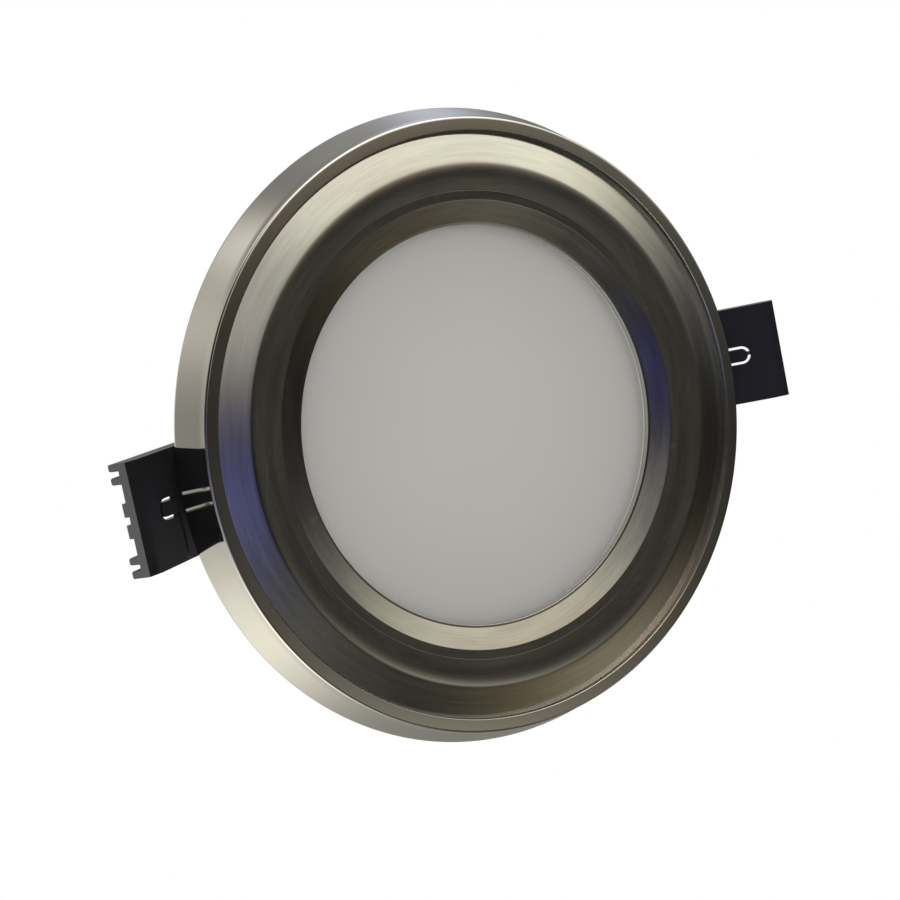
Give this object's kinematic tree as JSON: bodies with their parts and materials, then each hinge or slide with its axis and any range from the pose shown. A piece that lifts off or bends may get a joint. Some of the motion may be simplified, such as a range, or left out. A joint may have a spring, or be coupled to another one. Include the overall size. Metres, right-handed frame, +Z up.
{
  "type": "recessed soffit downlight",
  "caption": "Round recessed LED soffit downlight: brushed and polished metal trim, opal diffuser, finned heat sink and sprung clips that fold up for fitting.",
  "frame": {"origin": "centre of the trim's back face, where the trim and its gasket press on the soffit", "axes": "+Z up into the soffit along the light's axis, the light shines along -Z, +X towards the right clip"},
  "size_m": [0.1338, 0.11, 0.043],
  "materials": {
    "trim_metal": "die-cast trim plated in satin nickel: brushed round the dish, polished on the outer wall and rim",
    "foam_rubber": "closed-cell foam, matte",
    "clear_silicone": "smooth translucent silicone",
    "opal_acrylic": "satin opal acrylic",
    "white_plastic": "matte white polycarbonate",
    "board_white": "white solder mask on aluminium",
    "chip_phosphor": "yellow phosphor in a white frame",
    "thermal_silicone": "soft grey-blue silicone",
    "zinc_steel": "bright zinc plate",
    "red_sleeve": "smooth sleeve",
    "black_sleeve": "smooth sleeve",
    "cast_aluminium": "bare die casting, fine grain",
    "seal_rubber": "smooth rubber",
    "gland_nylon": "moulded nylon",
    "pressed_steel": "pressed and zinc plated",
    "pin_steel": "bright drawn steel",
    "spring_wire": "bright spring wire",
    "black_nylon": "glossy moulded face, matte edges"
  },
  "bodies": {
    "light": {"bezel": "trim_metal", "soffit_gasket": "foam_rubber", "diffuser_gasket": "clear_silicone", "diffuser": "opal_acrylic", "reflector": "white_plastic", "led_board": "board_white", "led_chips": "chip_phosphor", "board_terminal": "white_plastic", "thermal_pad": "thermal_silicone", "board_screws": "zinc_steel", "lead_positive": "red_sleeve", "lead_negative": "black_sleeve", "heat_sink": "cast_aluminium", "body_seal": "seal_rubber", "body_screws": "zinc_steel", "gland_washer": "seal_rubber", "cable_gland": "gland_nylon", "gland_seal": "seal_rubber", "gland_nut": "gland_nylon", "clip_bracket_left": "pressed_steel", "clip_bracket_right": "pressed_steel", "bracket_screws_left": "zinc_steel", "bracket_screws_right": "zinc_steel", "hinge_pin_left": "pin_steel", "hinge_pin_right": "pin_steel", "clip_spring_left": "spring_wire", "clip_spring_right": "spring_wire"},
    "clip_left": {"clip_arm_left": "black_nylon"},
    "clip_right": {"clip_arm_right": "black_nylon"}
  },
  "joints": [
    {"name": "clip_fold_right", "type": "hinge", "parent": "light", "child": "clip_right", "pos_m": [0.0418, 0, 0.01315], "axis": [0, -1, 0], "range_deg": [0, 127], "stiffness_Nm_per_rad": 0.06, "springref_deg": -114.59, "deforming": ["clip_spring_right"]},
    {"name": "clip_fold_left", "type": "hinge", "parent": "light", "child": "clip_left", "pos_m": [-0.0418, 0, 0.01315], "axis": [0, 1, 0], "range_deg": [0, 127], "stiffness_Nm_per_rad": 0.06, "springref_deg": -114.59, "deforming": ["clip_spring_left"]}
  ]
}
